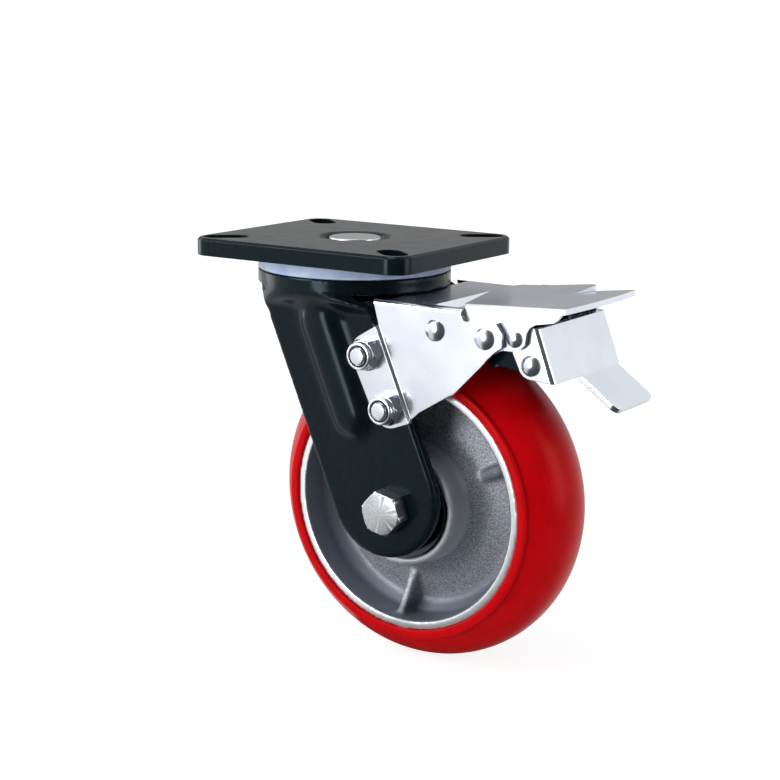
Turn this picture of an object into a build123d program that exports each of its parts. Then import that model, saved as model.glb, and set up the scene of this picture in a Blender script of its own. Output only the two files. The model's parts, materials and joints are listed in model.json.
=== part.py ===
from build123d import *
import math
import os

os.makedirs("parts", exist_ok=True)

# Heavy-duty swivel castor with a foot brake. Millimetres, +Z up.
# Origin: centre of the top plate's upper face. +X is the trailing side, where the wheel and the
# pedal are, and the axle runs along Y.

# Overall sizes
wheel_r = 75.0
wheel_w = 50.0
wheel_drop = 40.0  # from the plate's upper face down to the top of the wheel
trail = 44.0
axle_z = -wheel_drop - wheel_r
overall_h = wheel_drop + 2 * wheel_r

# Clearances
seat_gap = 0.1  # radial gap of a fixed fit
run_gap = 0.08  # radial gap of a pin that turns
ball_gap = 0.25  # between a ball and its groove
side_gap = 0.3  # between sheets that swing past each other

# Flats that stand for a turned face: on hidden bearing parts, and on small pins, rivets and nuts
hidden_flats_n = 24
small_flats_n = 12

# Top plate
plate_len = 114.0
plate_wid = 100.0
plate_t = 8.0
plate_corner_r = 9.5
plate_edge = 1.1
slot_in = 12.0  # slot's centre, from both edges of the plate
slot_len = 20.5
slot_wid = 11.0
dish_r = 17.5
dish_lip_w = 1.6
dish_lip_h = 0.6
dish_floor_r = 13.9
dish_depth = 4.2

# Swivel bearing
seal_h = 6.0
seal_wid = 4.0
head_r = 44.4
head_t = 7.0
upper_ball_r = 4.75
upper_row_r = 33.5
upper_balls_n = 18
lower_ball_r = 3.95
lower_row_r = 20.5
lower_balls_n = 12
groove_sink = 1.75  # how deep a ball sits in a raceway
race_r = 27.5
race_t = 5.6
race_edge = 1.6

# Kingpin, an M16 pin with a flat head
kingpin_r = 8.0
kingpin_head_r = 12.0
kingpin_head_edge = 0.6
kingpin_end_edge = 1.0
kingpin_nut_af = 24.0
kingpin_nut_h = 8.5
kingpin_end = 1.8
fork_bore_gap = 1.5

# Fork, pressed from one sheet
sheet_t = 6.0
fork_inner_w = 60.0
leg_lean = 23.4  # degrees from the vertical
leg_end_r = 27.5
leg_end_dx = -4.0  # centre of the leg's round end, from the axle
leg_end_dz = 5.0
shoulder_drop = 11.5
relief_r = 2.4
relief_left_x = -24.5
relief_right_x = 34.0
relief_drop = 1.2
flare_r = 17.0
flare_h = 12.5
rib_top_x = 5.5
rib_top_z = -33.0
rib_low_x = 23.4
rib_low_z = -75.0
rib_wid = 20.0
rib_h = 4.6
rib_draft = 38.0

# Axle, an M12 bolt in a sleeve
axle_r = 6.0
axle_head_af = 18.0
axle_head_h = 8.0
axle_head_turn = -12.0
axle_hole_gap = 0.2
sleeve_r = 10.0
axle_nut_hex_h = 8.0
axle_nut_h = 12.0
nut_collar_in = 0.4
axle_washer_r = 12.0
axle_washer_t = 2.0
bolt_end = 1.0

# Wheel
rim_r = 58.0
rim_wid = 48.0
rim_t = 4.0
hub_len = 56.0
hub_r = 27.3
web_half = 4.6
web_cove = 5.0
web_hub_half = 9.0
hub_cove = 7.0
rib_n = 3
rib_turn = 25.0
wheel_rib_t = 4.4
rib_from_rim = 4.0
tyre_lip_r = 62.2
tyre_lip_step = 1.2
tyre_crease = 0.8
tread_arc_more = 1.0  # the tread's arc is rounder than half the width by this much

# Wheel bearings, two of 20 x 47 x 14
bearing_od = 47.0
bearing_w = 14.0
inner_ring_r = 14.2
outer_ring_r = 19.3
wheel_ball_r = 3.2
wheel_balls_n = 9
shield_t = 0.8
bearing_shoulder = 2.5

# Brake sheets, from the outside in
brake_t = 2.5
bracket_half = 37.0
bracket_top_z = -21.2
bracket_in_x = 40.5
step_x = 63.5
step_drop = 3.0
tongue_end_x = 75.5
tongue_half = 31.0
strip_wid = 3.8
strip_end_x = 79.0
bend_r = 2.4
joggle_gap = 0.4
joggle_wid = 2.0

# Brake pivots in the XZ plane
arm_pin_x = 66.4
arm_pin_z = -31.6
pedal_pin_x = 90.7
pedal_pin_z = -32.6
link_pin_x = 103.7
link_pin_z = -31.7
lever_pin_x = 110.1
lever_pin_z = -42.8

# Rivets
rivet_r = 3.0
dome_r = 4.75
dome_h = 2.3
small_rivet_r = 2.5
small_dome_r = 3.6
small_dome_h = 1.9
rivet_rim_h = 0.5
inner_head_t = 1.2
arm_pin_r = 3.0
spacer_r = 4.6
toggle_play = 1.3  # length of the arm's slot beyond its rivet
toggle_play_turn = -21.0

# Bracket bolts, M8
bolt_r = 4.0
bolt_hole_gap = 0.15
bolt_head_r = 6.5
bolt_head_h = 3.4
bolt_edge = 0.7
nut_edge = 0.9
nut_af = 13.0
nut_hex_h = 5.6
nut_h = 8.0
bolt_top_z = -45.3
bolt_low_z = -68.2
bolt_top_in = 8.0  # from the leg's trailing edge
bolt_low_in = 6.7
flange_edge = 8.9
flange_above = 12.6
flange_below = 5.6
belly_point = (77.0, -57.4)  # corners of the bracket's lower edge
chin_z = -68.5
chin_out = 7.1  # from the leg's trailing edge

# Pedal
pedal_rise = 0.05
pedal_top_x = 78.6
pedal_top_z = -19.2
pedal_from_x = 62.0
pedal_mid_x = 79.6
pedal_slit_x = 108.2
pedal_slit_y = 7.7
pedal_slit_wid = 0.5
pedal_end_x = 126.8
pedal_end_bulge = 1.6
pedal_lift = 1.5  # far corner, in front of the slit
pedal_lift_x = 84.0
pedal_corner_r = 4.5
pedal_back_x = 65.0  # the upper sheet's back edge runs in two lines to this corner
pedal_back_y = 19.0
pedal_back_far_x = 71.0
pedal_back_near = 1.1
pedal_dip = 1.5  # far corner, behind the slit
pedal_eye_r = 7.6
pedal_bend_r = 2.2

# Release lever
lever_top_x = 113.0
lever_top_z = -26.9
lever_low_x = 121.5
lever_low_z = -49.6
lever_link_r = 5.0
lever_eye_r = 5.9
tab_end_x = 139.5
tab_end_z = -62.5
tab_from_y = -6.5
tab_to_y = 28.5
tab_corner_r = 4.0

# Brake arm and shoe
arm_lock_turn = 14.6  # degrees from rest to the locked brake
shoe_gap = 1.0  # left between the shoe and the tyre when locked
shoe_t = 3.0
shoe_from = 56.0
shoe_to = 71.0
arm_eye_r = 4.6
arm_end_r = 4.6

# Levels of the swivel bearing
seal_top = -plate_t
head_top = seal_top - seal_h
head_low = head_top - head_t
upper_ball_z = head_top + upper_ball_r - groove_sink
lower_ball_z = head_low + groove_sink - lower_ball_r
race_top = lower_ball_z - lower_ball_r + groove_sink
race_low = race_top - race_t
nut_low = race_low - kingpin_nut_h

# Half widths across the brake, from the outside in
bracket_in = bracket_half - brake_t
pedal_out = bracket_in - side_gap
pedal_in = pedal_out - brake_t
lever_out = pedal_in - side_gap
lever_in = lever_out - brake_t
arm_out = lever_in - 2 * side_gap
arm_in = arm_out - brake_t + side_gap
leg_in = fork_inner_w / 2
leg_out = leg_in + sheet_t
flange_out = leg_out + brake_t
hub_half = hub_len / 2
bearing_r = bearing_od / 2
bearing_in_y = hub_half - bearing_w

# The leg's edges lean, and both touch its round end
lean = math.radians(leg_lean)
leg_dir = (-math.sin(lean), math.cos(lean))
leg_side = (math.cos(lean), math.sin(lean))
leg_end_x = trail + leg_end_dx
leg_end_z = axle_z + leg_end_dz


def leg_point(across, along):
    """A point of the leg in the XZ plane, from the centre of its round end."""
    x = leg_end_x + leg_side[0] * across + leg_dir[0] * along
    z = leg_end_z + leg_side[1] * across + leg_dir[1] * along
    return (x, z)


def leg_edge(offset, z):
    """A point at height z on the line that far outside the leg's trailing edge."""
    across = leg_end_r + offset
    along = (z - leg_end_z - leg_side[1] * across) / leg_dir[1]
    return leg_point(across, along)


bolt_points = [leg_edge(-bolt_top_in, bolt_top_z), leg_edge(-bolt_low_in, bolt_low_z)]


def swing(point, pivot, degrees):
    """A point of the XZ plane turned about a pivot."""
    a = math.radians(degrees)
    dx = point[0] - pivot[0]
    dz = point[1] - pivot[1]
    return (pivot[0] + dx * math.cos(a) - dz * math.sin(a), pivot[1] + dx * math.sin(a) + dz * math.cos(a))


def side_plane(y):
    """A plane that looks from the near side, with its sketch in X and Z, at this Y."""
    return Plane(origin=(0, y, 0), x_dir=(1, 0, 0), z_dir=(0, -1, 0))


def ball(radius):
    """A ball of 26 flat faces: a cube with all its edges cut back alike."""
    half = 0.9 * radius
    cube = Box(2 * half, 2 * half, 2 * half)
    return chamfer(cube.edges(), half * (2 - math.sqrt(2)))


def groove(row_r, ball_r, flats):
    """A flat ring that a ball track is cut with, as a sketch."""
    half = math.sqrt(ball_r**2 - (ball_r - groove_sink) ** 2) + ball_gap
    RegularPolygon(row_r + half, flats, major_radius=False)
    RegularPolygon(row_r - half, flats, mode=Mode.SUBTRACT)


def finish(builder, name):
    """Name the piece and write its file."""
    builder.part.label = name
    export_step(builder.part, f"parts/{name}.step")


upper_ball = ball(upper_ball_r)
lower_ball = ball(lower_ball_r)
wheel_ball = ball(wheel_ball_r)

# Top plate: a thick plate with four slots that point at its centre, dished for the kingpin's head
slot_x = plate_len / 2 - slot_in
slot_y = plate_wid / 2 - slot_in
slot_angle = math.degrees(math.atan2(slot_y, slot_x))
groove_depth = groove_sink + ball_gap
with BuildPart() as top_plate:
    with BuildSketch():
        RectangleRounded(plate_len, plate_wid, plate_corner_r)
    extrude(amount=-plate_t)
    chamfer(top_plate.edges().group_by(Axis.Z)[-1], plate_edge)
    with BuildSketch():
        for sx in (-1, 1):
            for sy in (-1, 1):
                with Locations(Location((sx * slot_x, sy * slot_y), sx * sy * slot_angle)):
                    SlotOverall(slot_len, slot_wid)
    extrude(amount=-plate_t, mode=Mode.SUBTRACT)
    with BuildSketch(Plane.XZ):
        Polygon(
            (dish_r, 0),
            (dish_r - dish_lip_w, -dish_lip_h),
            (dish_floor_r, -dish_depth),
            (0, -dish_depth),
            (0, 1),
            (dish_r, 1),
            align=None,
        )
    revolve(axis=Axis.Z, mode=Mode.SUBTRACT)
    with BuildSketch(Plane.XY.offset(-plate_t)):
        groove(upper_row_r, upper_ball_r, 2 * hidden_flats_n)
    extrude(amount=groove_depth, mode=Mode.SUBTRACT)
    with BuildSketch():
        Circle(kingpin_r + seat_gap)
    extrude(amount=-plate_t, mode=Mode.SUBTRACT)

# Kingpin: flat head in the dish, shank down through the bearing to its nut
with BuildPart() as kingpin:
    with BuildSketch(Plane.XY.offset(-dish_depth)):
        Circle(kingpin_head_r)
    extrude(amount=dish_depth)
    chamfer(kingpin.edges().group_by(Axis.Z)[-1], kingpin_head_edge)
    with BuildSketch(Plane.XY.offset(-dish_depth)):
        RegularPolygon(kingpin_r, hidden_flats_n)
    extrude(amount=nut_low - kingpin_end + dish_depth)
    chamfer(kingpin.edges().group_by(Axis.Z)[0], kingpin_end_edge)

with BuildPart() as kingpin_nut:
    with BuildSketch(Plane.XY.offset(nut_low)):
        RegularPolygon(kingpin_nut_af / 2, 6, major_radius=False)
        Circle(kingpin_r + seat_gap / 2, mode=Mode.SUBTRACT)
    extrude(amount=kingpin_nut_h)

# Lower race, held up by the nut
with BuildPart() as lower_race:
    with BuildSketch(Plane.XY.offset(race_low)):
        RegularPolygon(race_r, hidden_flats_n)
    extrude(amount=race_t)
    chamfer(lower_race.edges().group_by(Axis.Z)[0], race_edge)
    with BuildSketch(Plane.XY.offset(race_low)):
        RegularPolygon(kingpin_r + seat_gap, hidden_flats_n, major_radius=False)
    extrude(amount=race_t, mode=Mode.SUBTRACT)
    with BuildSketch(Plane.XY.offset(race_top)):
        groove(lower_row_r, lower_ball_r, hidden_flats_n)
    extrude(amount=-groove_depth, mode=Mode.SUBTRACT)

with BuildPart() as upper_balls:
    with PolarLocations(upper_row_r, upper_balls_n):
        with Locations((0, 0, upper_ball_z)):
            add(upper_ball)

with BuildPart() as lower_balls:
    with PolarLocations(lower_row_r, lower_balls_n):
        with Locations((0, 0, lower_ball_z)):
            add(lower_ball)

# Dust seal, a plastic ring that turns with the fork just under the plate
with BuildPart() as dust_seal:
    with BuildSketch(Plane.XY.offset(head_top)):
        Circle(head_r)
        Circle(head_r - seal_wid, mode=Mode.SUBTRACT)
    extrude(amount=seal_h - side_gap)

# One leg of the fork: its section drops from the head's rim in an S bend and then runs straight down
shoulder_top = head_low + 1.0
shoulder_low = shoulder_top - shoulder_drop
shoulder_r = head_r - 0.1


def s_bend(y_from, y_to):
    """The sheet's face where it steps in from the head's rim to the leg."""
    steps = [(0, 0), (0.06, 0.17), (0.22, 0.33), (0.78, 0.67), (0.94, 0.83), (1, 1)]
    return [(y_from + (y_to - y_from) * a, shoulder_top - shoulder_drop * b) for a, b in steps]


with BuildPart() as leg:
    with BuildSketch(Plane.YZ):
        bend_out = s_bend(-shoulder_r, -leg_out)
        bend_in = s_bend(sheet_t - shoulder_r, -leg_in)
        Polygon(
            (-shoulder_r, head_top - 1),
            *bend_out,
            (-leg_out, -overall_h),
            (-leg_in, -overall_h),
            *reversed(bend_in),
            (sheet_t - shoulder_r, head_top - 1),
            align=None,
        )
    extrude(amount=plate_len, both=True)
    with BuildSketch(side_plane(0)):
        top_along = (head_top - leg_end_z) / leg_dir[1] + leg_end_r
        with BuildLine():
            left = Line(leg_point(-leg_end_r, top_along), leg_point(-leg_end_r, 0))
            end = ThreePointArc(left @ 1, leg_point(0, -leg_end_r), leg_point(leg_end_r, 0))
            right = Line(end @ 1, leg_point(leg_end_r, top_along))
            Line(right @ 1, left @ 0)
        make_face()
    extrude(amount=plate_wid, mode=Mode.INTERSECT)
    with BuildSketch(Plane.XZ):
        with BuildLine():
            Polyline(
                (0, 0),
                (shoulder_r, 0),
                (shoulder_r, shoulder_top),
                (shoulder_r + flare_r, shoulder_top - flare_h),
                (plate_len, shoulder_top - 2 * flare_h),
                (plate_len, -overall_h),
                (0, -overall_h),
                close=True,
            )
        make_face()
    revolve(axis=Axis.Z, mode=Mode.INTERSECT)
    with BuildSketch(side_plane(leg_in)):
        with Locations((relief_left_x, head_low - relief_drop), (relief_right_x, head_low - relief_drop)):
            RegularPolygon(relief_r, small_flats_n)
    extrude(amount=plate_wid, mode=Mode.SUBTRACT)
    with BuildSketch(Plane.XY.offset(shoulder_low)):
        with Locations((-plate_len / 2, 0)):
            Rectangle(plate_len, 2 * plate_wid)
        Circle(shoulder_r, mode=Mode.SUBTRACT)
    extrude(amount=shoulder_drop + head_t, mode=Mode.SUBTRACT)
    rib_len = math.dist((rib_top_x, rib_top_z), (rib_low_x, rib_low_z))
    rib_mid = ((rib_top_x + rib_low_x) / 2, (rib_top_z + rib_low_z) / 2)
    rib_angle = math.degrees(math.atan2(rib_low_z - rib_top_z, rib_low_x - rib_top_x))
    with BuildSketch(side_plane(-leg_out)):
        with Locations(Location(rib_mid, rib_angle)):
            SlotOverall(rib_len + rib_wid, rib_wid)
    extrude(amount=rib_h, taper=rib_draft)
    with BuildSketch(side_plane(-leg_in)):
        with Locations(Location(rib_mid, rib_angle)):
            SlotOverall(rib_len + rib_wid - sheet_t, rib_wid - sheet_t)
    extrude(amount=rib_h, taper=rib_draft, mode=Mode.SUBTRACT)

# Fork: round head with a raceway on each side, and two legs
with BuildPart() as fork:
    with BuildSketch(Plane.XY.offset(head_low)):
        Circle(head_r)
    extrude(amount=head_t)
    add(leg.part)
    mirror(leg.part, about=Plane.XZ)
    with BuildSketch(Plane.XY.offset(head_top)):
        groove(upper_row_r, upper_ball_r, 2 * hidden_flats_n)
    extrude(amount=-groove_depth, mode=Mode.SUBTRACT)
    with BuildSketch(Plane.XY.offset(head_low)):
        groove(lower_row_r, lower_ball_r, hidden_flats_n)
    extrude(amount=groove_depth, mode=Mode.SUBTRACT)
    with BuildSketch(Plane.XY.offset(head_low)):
        Circle(kingpin_r + fork_bore_gap)
    extrude(amount=head_t, mode=Mode.SUBTRACT)
    with BuildSketch(Plane.XZ):
        with Locations((trail, axle_z)):
            RegularPolygon(axle_r + axle_hole_gap, hidden_flats_n, major_radius=False)
        with Locations(*bolt_points):
            RegularPolygon(bolt_r + bolt_hole_gap, small_flats_n, major_radius=False)
    extrude(amount=plate_wid, both=True, mode=Mode.SUBTRACT)

# Wheel core: cast hub, web and rim in one, with ribs on both sides of the web
axle_axis = Axis((trail, 0, axle_z), (0, 1, 0))


def wheel_plane():
    """A plane through the axle: its X is the radius and its Y runs along the axle."""
    return Plane(origin=(trail, 0, axle_z), x_dir=(1, 0, 0), z_dir=(0, 0, 1))


rim_half = rim_wid / 2
rim_in_r = rim_r - rim_t
with BuildPart() as wheel_core:
    with BuildSketch(wheel_plane()):
        Polygon(
            (outer_ring_r + bearing_shoulder, 0),
            (outer_ring_r + bearing_shoulder, bearing_in_y - seat_gap),
            (bearing_r + seat_gap / 2, bearing_in_y - seat_gap),
            (bearing_r + seat_gap / 2, hub_half),
            (hub_r, hub_half),
            (hub_r, web_hub_half + hub_cove),
            (hub_r + hub_cove, web_hub_half),
            (rim_in_r - web_cove, web_half),
            (rim_in_r, web_half + web_cove),
            (rim_in_r, rim_half),
            (rim_r, rim_half),
            (rim_r, 0),
            align=None,
        )
        mirror(about=Plane.XZ)
    revolve(axis=axle_axis)
    for k in range(rib_n):
        rib_plane = wheel_plane().rotated((0, -rib_turn - k * 360 / rib_n, 0))
        with BuildSketch(rib_plane):
            with BuildLine():
                Polyline(
                    (hub_r - 1, 0),
                    (hub_r - 1, web_hub_half + hub_cove / 2),
                    (hub_r + hub_cove, web_hub_half + 1),
                    (rim_in_r + 1, rim_half - rib_from_rim),
                    (rim_in_r + 1, 0),
                    close=True,
                )
            make_face()
            mirror(about=Plane.XZ)
        extrude(amount=wheel_rib_t / 2, both=True)

# Tyre, cast onto the rim: a lip beside the rim, then a round tread
tyre_half = wheel_w / 2
tread_arc_r = tyre_half + tread_arc_more
tread_from_y = tyre_half - tyre_lip_step - tyre_crease


def tread_r(y):
    """The tread's radius at this distance from the wheel's middle plane."""
    return wheel_r - tread_arc_r + math.sqrt(tread_arc_r**2 - y**2)


with BuildPart() as tyre:
    with BuildSketch(wheel_plane()):
        Polygon(
            (rim_r + seat_gap / 2, 0),
            (rim_r + seat_gap / 2, tyre_half - tyre_crease / 2),
            (tyre_lip_r, tyre_half),
            (tyre_lip_r, tyre_half - tyre_lip_step),
            *[(tread_r(tread_from_y * k), tread_from_y * k) for k in (1, 0.74, 0.42)],
            (wheel_r, tread_from_y / 10),
            (wheel_r, 0),
            align=None,
        )
        mirror(about=Plane.XZ)
    revolve(axis=axle_axis)


def ring(inner, outer, y_from, y_to):
    """A turned ring on the axle between two places along it, its faces drawn as flats."""
    with BuildSketch(Plane(origin=(trail, y_from, axle_z), x_dir=(1, 0, 0), z_dir=(0, 1, 0))) as face:
        RegularPolygon(outer, hidden_flats_n)
        if inner > 0:
            RegularPolygon(inner, hidden_flats_n, major_radius=False, mode=Mode.SUBTRACT)
    extrude(face.sketch, amount=y_to - y_from)


# Wheel bearings: each ring has a shallow track for the balls at the middle of its width
bearing_mid_y = hub_half - bearing_w / 2
ball_row_r = (inner_ring_r + outer_ring_r) / 2
track_half = wheel_ball_r + ball_gap
with BuildPart() as bearing_inner_rings:
    for y in (-bearing_mid_y, bearing_mid_y):
        ring(sleeve_r + seat_gap / 2, inner_ring_r, y - bearing_w / 2, y - track_half)
        ring(sleeve_r + seat_gap / 2, ball_row_r - track_half, y - track_half, y + track_half)
        ring(sleeve_r + seat_gap / 2, inner_ring_r, y + track_half, y + bearing_w / 2)

with BuildPart() as bearing_outer_rings:
    for y in (-bearing_mid_y, bearing_mid_y):
        ring(outer_ring_r, bearing_r, y - bearing_w / 2, y - track_half)
        ring(ball_row_r + track_half, bearing_r, y - track_half, y + track_half)
        ring(outer_ring_r, bearing_r, y + track_half, y + bearing_w / 2)

with BuildPart() as bearing_shields:
    for y in (hub_half - shield_t, -hub_half):
        ring(inner_ring_r + side_gap, outer_ring_r, y, y + shield_t)

with BuildPart() as wheel_balls:
    for y in (-bearing_mid_y, bearing_mid_y):
        for k in range(wheel_balls_n):
            a = 2 * math.pi * k / wheel_balls_n
            with Locations((trail + ball_row_r * math.cos(a), y, axle_z + ball_row_r * math.sin(a))):
                add(wheel_ball)

# Axle parts, clamped between the fork's legs
with BuildPart() as axle_sleeve:
    ring(axle_r + axle_hole_gap, sleeve_r, -leg_in, leg_in)

with BuildPart() as bearing_spacer:
    ring(sleeve_r + seat_gap, inner_ring_r - 1.2, -bearing_in_y, bearing_in_y)

with BuildPart() as hub_washers:
    ring(sleeve_r + seat_gap, inner_ring_r, hub_half, leg_in)
    ring(sleeve_r + seat_gap, inner_ring_r, -leg_in, -hub_half)

with BuildPart() as axle_washer:
    ring(axle_r + axle_hole_gap, axle_washer_r, leg_out, leg_out + axle_washer_t)

nut_from_y = leg_out + axle_washer_t
with BuildPart() as axle_bolt:
    with BuildSketch(side_plane(-leg_out)):
        with Locations(Location((trail, axle_z), axle_head_turn)):
            RegularPolygon(axle_head_af / 2, 6, major_radius=False)
    extrude(amount=axle_head_h)
    with BuildSketch(side_plane(-leg_out - axle_head_h)):
        with Locations(Location((trail, axle_z), axle_head_turn)):
            RegularPolygon(axle_head_af / 2 + seat_gap, hidden_flats_n)
    extrude(amount=-axle_head_h - 1, taper=-62, mode=Mode.INTERSECT)
    ring(0, axle_r, -leg_out, nut_from_y + axle_nut_h + bolt_end)

with BuildPart() as axle_nut:
    with BuildSketch(Plane(origin=(trail, nut_from_y, axle_z), x_dir=(1, 0, 0), z_dir=(0, 1, 0))):
        RegularPolygon(axle_head_af / 2, 6, major_radius=False)
    extrude(amount=axle_nut_hex_h)
    ring(0, axle_head_af / 2 - nut_collar_in, nut_from_y, nut_from_y + axle_nut_h)
    with BuildSketch(Plane.XZ.offset(-nut_from_y)):
        with Locations((trail, axle_z)):
            RegularPolygon(axle_r + seat_gap / 2, hidden_flats_n, major_radius=False)
    extrude(amount=-axle_nut_h, mode=Mode.SUBTRACT)


# Brake bracket: a channel over the wheel, with a flange bolted to each leg of the fork
arm_pin = (arm_pin_x, arm_pin_z)
pedal_pin = (pedal_pin_x, pedal_pin_z)
link_pin = (link_pin_x, link_pin_z)
lever_pin = (lever_pin_x, lever_pin_z)
side_top_z = bracket_top_z - brake_t
flange_top_z = bolt_top_z + flange_above
flange_low_z = bolt_low_z - flange_below
with BuildPart() as bracket_side:
    with BuildSketch(side_plane(-bracket_in)):
        with BuildLine():
            Polyline(
                leg_edge(joggle_gap + joggle_wid, bracket_top_z),
                (strip_end_x, bracket_top_z),
                (strip_end_x, side_top_z),
                (strip_end_x + 1.6, side_top_z - 2.6),
                (strip_end_x + 4.2, side_top_z - 2.6),
                (pedal_pin_x - 4.2, side_top_z - 0.9),
                (pedal_pin_x, side_top_z),
                (pedal_pin_x + 5.4, pedal_pin_z + 7.0),
                (pedal_pin_x + 8.4, pedal_pin_z + 2.9),
                (pedal_pin_x + 8.4, pedal_pin_z - 2.9),
                (pedal_pin_x + 4.8, pedal_pin_z - 5.6),
                (pedal_pin_x + 1.6, pedal_pin_z - 8.6),
                (pedal_pin_x - 1.4, pedal_pin_z - 12.2),
                belly_point,
                (leg_edge(0, chin_z)[0] + chin_out, chin_z),
                leg_edge(joggle_gap + joggle_wid, flange_low_z),
                close=True,
            )
        make_face()
    extrude(amount=brake_t)
    joggle_x, joggle_z = leg_edge(0, flange_low_z)
    joggle_plane = Plane(
        origin=(joggle_x, 0, joggle_z),
        x_dir=(leg_side[0], 0, leg_side[1]),
        z_dir=(leg_dir[0], 0, leg_dir[1]),
    )
    with BuildSketch(joggle_plane):
        Polygon(
            (joggle_gap, -leg_out),
            (joggle_gap, -flange_out),
            (joggle_gap + joggle_wid, -bracket_half),
            (joggle_gap + joggle_wid, -bracket_in),
            align=None,
        )
    extrude(amount=(flange_top_z - flange_low_z) / leg_dir[1])
    with BuildSketch(side_plane(-leg_out)):
        with Locations(*bolt_points):
            Circle(flange_edge)
        top_corner = leg_edge(joggle_gap, flange_top_z)
        low_corner = leg_edge(joggle_gap, flange_low_z)
        Polygon(top_corner, low_corner, bolt_points[1], bolt_points[0], align=None)
        make_hull()
        cut_top = leg_edge(joggle_gap, 0)
        cut_low = leg_edge(joggle_gap, -overall_h)
        Polygon(cut_top, cut_low, (plate_len * 2, -overall_h), (plate_len * 2, 0), align=None, mode=Mode.SUBTRACT)
    extrude(amount=brake_t)

with BuildPart() as brake_bracket:
    add(bracket_side.part)
    mirror(bracket_side.part, about=Plane.XZ)
    with BuildSketch(Plane.XY.offset(side_top_z)):
        Polygon(
            (bracket_in_x, -bracket_half),
            (step_x, -bracket_half),
            (step_x, bracket_half),
            (bracket_in_x, bracket_half),
            align=None,
        )
        for side in (-1, 1):
            with Locations(((step_x + strip_end_x) / 2, side * (bracket_half - strip_wid / 2))):
                Rectangle(strip_end_x - step_x, strip_wid)
    extrude(amount=brake_t)
    with BuildSketch(side_plane(tongue_half)):
        Polygon(
            (step_x - 2.5, bracket_top_z),
            (step_x, bracket_top_z),
            (step_x + 2.6, bracket_top_z - step_drop),
            (tongue_end_x, bracket_top_z - step_drop),
            (tongue_end_x, side_top_z - step_drop),
            (step_x + 1.4, side_top_z - step_drop),
            (step_x - 1.2, side_top_z),
            (step_x - 2.5, side_top_z),
            align=None,
        )
    extrude(amount=2 * tongue_half)
    long_edges = brake_bracket.edges().filter_by(Axis.X).group_by(Axis.Z)[-1].group_by(Axis.Y)
    fillet([*long_edges[0], *long_edges[-1]], bend_r)
    with BuildSketch(Plane.XZ):
        with Locations(*bolt_points):
            RegularPolygon(bolt_r + bolt_hole_gap, small_flats_n, major_radius=False)
        with Locations(arm_pin):
            RegularPolygon(arm_pin_r + seat_gap, small_flats_n, major_radius=False)
        with Locations(pedal_pin):
            RegularPolygon(rivet_r + seat_gap, small_flats_n, major_radius=False)
    extrude(amount=plate_wid, both=True, mode=Mode.SUBTRACT)


def pedal_z(x):
    """Height of the pedal's upper face."""
    return pedal_top_z + pedal_rise * (x - pedal_top_x)


def strip(points):
    """A sheet's section: its upper line, and the same line one thickness lower."""
    lower = [(x, z - brake_t) for x, z in reversed(points)]
    Polygon(*points, *lower, align=None)


pedal_flange = [
    (pedal_mid_x, pedal_z(pedal_mid_x) - 1),
    (pedal_mid_x + 0.6, -26.4),
    (pedal_pin_x - 6.4, pedal_pin_z + 4.1),
    (pedal_pin_x, pedal_pin_z - pedal_eye_r),
    (pedal_pin_x + 7.5, -37.2),
    (103.5, -37.1),
    (106.3, -36.1),
    (108.6, -33.5),
    (109.1, -28.8),
    (110.7, -26.1),
    (113.0, -24.8),
    (121.3, -23.3),
    (123.1, -21.9),
    (124.9, -19.6),
    (pedal_end_x - 1, pedal_z(pedal_end_x) - 1),
]

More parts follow.
